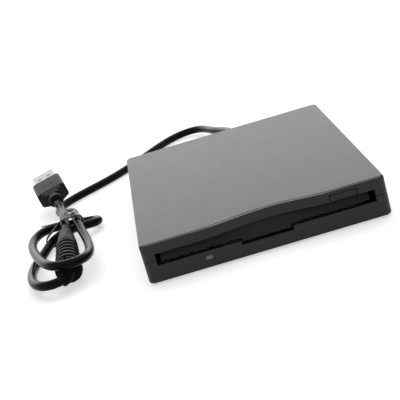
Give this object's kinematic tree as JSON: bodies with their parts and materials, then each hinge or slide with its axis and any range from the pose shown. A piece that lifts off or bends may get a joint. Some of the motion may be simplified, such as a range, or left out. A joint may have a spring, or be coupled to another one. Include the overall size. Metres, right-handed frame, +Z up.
{
  "type": "external floppy drive",
  "caption": "Slim black external drive for 3.5 inch disks, with a flap over its slot, an eject button and a tied USB lead with a ferrite bead and plug.",
  "frame": {"origin": "on the table under the middle of the case", "axes": "+Z up, slot towards -Y, button at the right (+X) seen from the front"},
  "size_m": [0.1565, 0.2198, 0.0183],
  "materials": {
    "black_case": "fine matte texture",
    "black_soft": "satin",
    "flap_black": "satin",
    "lens": "translucent",
    "feet": "matte",
    "screw_steel": "zinc plated",
    "sheet_steel": "satin zinc",
    "dark_plastic": "moulded",
    "grey_plastic": "moulded",
    "board": "solder mask",
    "copper": "enamelled winding",
    "brass": "turned",
    "pale_plastic": "moulded",
    "shell_steel": "nickel plated",
    "gold": "plated"
  },
  "bodies": {
    "case": {"top_cover": "black_case", "bottom_case": "black_case", "front_bezel": "black_case", "door_spring": "screw_steel", "led_lens": "lens", "rubber_feet": "feet", "case_screws": "screw_steel", "chassis": "sheet_steel", "chassis_screws": "screw_steel", "shield_cover": "sheet_steel", "slide_springs": "screw_steel", "spindle_board": "board", "stator_coils": "copper", "spindle_bush": "brass", "guide_rods": "screw_steel", "rod_clamps": "sheet_steel", "stepper_motor": "sheet_steel", "motor_bracket": "sheet_steel", "track_sensor": "dark_plastic", "switch_housings": "dark_plastic", "main_board": "board", "main_board_chips": "dark_plastic", "flat_cable": "pale_plastic", "usb_board": "board", "usb_board_chips": "dark_plastic", "lead_wires": "copper", "lamp_board": "board", "lamp": "lens", "cable_gland": "black_soft", "cord_lead": "black_soft", "cord_bundle": "black_soft", "cord_tail": "black_soft", "ferrite_bead": "black_soft", "bead_relief": "black_soft", "twist_tie": "flap_black", "plug_body": "black_soft", "plug_shell": "shell_steel", "plug_tongue": "pale_plastic", "plug_contacts": "gold"},
    "door": {"door_flap": "flap_black"},
    "eject": {"eject_button": "black_case", "eject_slide": "sheet_steel"},
    "carrier": {"disk_carrier": "sheet_steel", "lever_clip": "brass", "lever_spring": "screw_steel"},
    "trigger": {"trigger_lever": "sheet_steel"},
    "spindle": {"spindle_rotor": "sheet_steel", "spindle_hub": "screw_steel", "drive_pin": "brass"},
    "carriage": {"head_carriage": "grey_plastic", "lower_head": "dark_plastic", "arm_pin": "screw_steel"},
    "arm": {"head_arm": "grey_plastic", "upper_head": "dark_plastic"},
    "screw": {"lead_screw": "screw_steel"},
    "write_protect": {"write_protect_plunger": "pale_plastic"},
    "density": {"density_plunger": "pale_plastic"},
    "disk_in": {"disk_in_plunger": "pale_plastic"}
  },
  "joints": [
    {"name": "door_hinge", "type": "hinge", "parent": "case", "child": "door", "pos_m": [0, -0.0641, 0.0139], "axis": [1, 0, 0], "range_deg": [0, 110], "stiffness_Nm_per_rad": 0.0004, "springref_deg": -11.46},
    {"name": "eject_slide", "type": "slide", "parent": "case", "child": "eject", "axis": [0, -1, 0], "range_m": [0, 0.0045], "deforming": ["slide_springs"]},
    {"name": "carrier_drop", "type": "slide", "parent": "case", "child": "carrier", "axis": [0, 0, -1], "range_m": [0, 0.002]},
    {"name": "trigger_swing", "type": "hinge", "parent": "carrier", "child": "trigger", "pos_m": [-0.036, 0.036, 0.0136], "axis": [0, 0, 1], "range_deg": [0, 48], "stiffness_Nm_per_rad": 0.0008, "springref_deg": -17.19},
    {"name": "spindle_turn", "type": "hinge", "parent": "case", "child": "spindle", "pos_m": [0, -0.017, 0.006], "axis": [0, 0, 1], "continuous": true},
    {"name": "head_step", "type": "slide", "parent": "case", "child": "carriage", "axis": [0, -1, 0], "range_m": [0, 0.0148]},
    {"name": "arm_lift", "type": "hinge", "parent": "carriage", "child": "arm", "pos_m": [0, 0.0483, 0.013], "axis": [1, 0, 0], "range_deg": [0, 9.2]},
    {"name": "screw_turn", "type": "hinge", "parent": "case", "child": "screw", "pos_m": [0.022, 0.05, 0.0081], "axis": [0, 1, 0], "range_deg": [-10, 1780]},
    {"name": "write_protect_press", "type": "slide", "parent": "case", "child": "write_protect", "axis": [0, 0, -1], "range_m": [0, 0.0016], "stiffness_N_per_m": 60, "springref_m": -0.001},
    {"name": "density_press", "type": "slide", "parent": "case", "child": "density", "axis": [0, 0, -1], "range_m": [0, 0.0016], "stiffness_N_per_m": 60, "springref_m": -0.001},
    {"name": "disk_in_press", "type": "slide", "parent": "case", "child": "disk_in", "axis": [0, 0, -1], "range_m": [0, 0.0016], "stiffness_N_per_m": 60, "springref_m": -0.001}
  ],
  "couplings": [
    {"joint": "carrier_drop", "follows": "eject_slide", "ratio": 0.44444},
    {"joint": "arm_lift", "follows": "eject_slide", "rad_per_m": 35.6},
    {"joint": "screw_turn", "follows": "head_step", "rad_per_m": 2094.4}
  ]
}
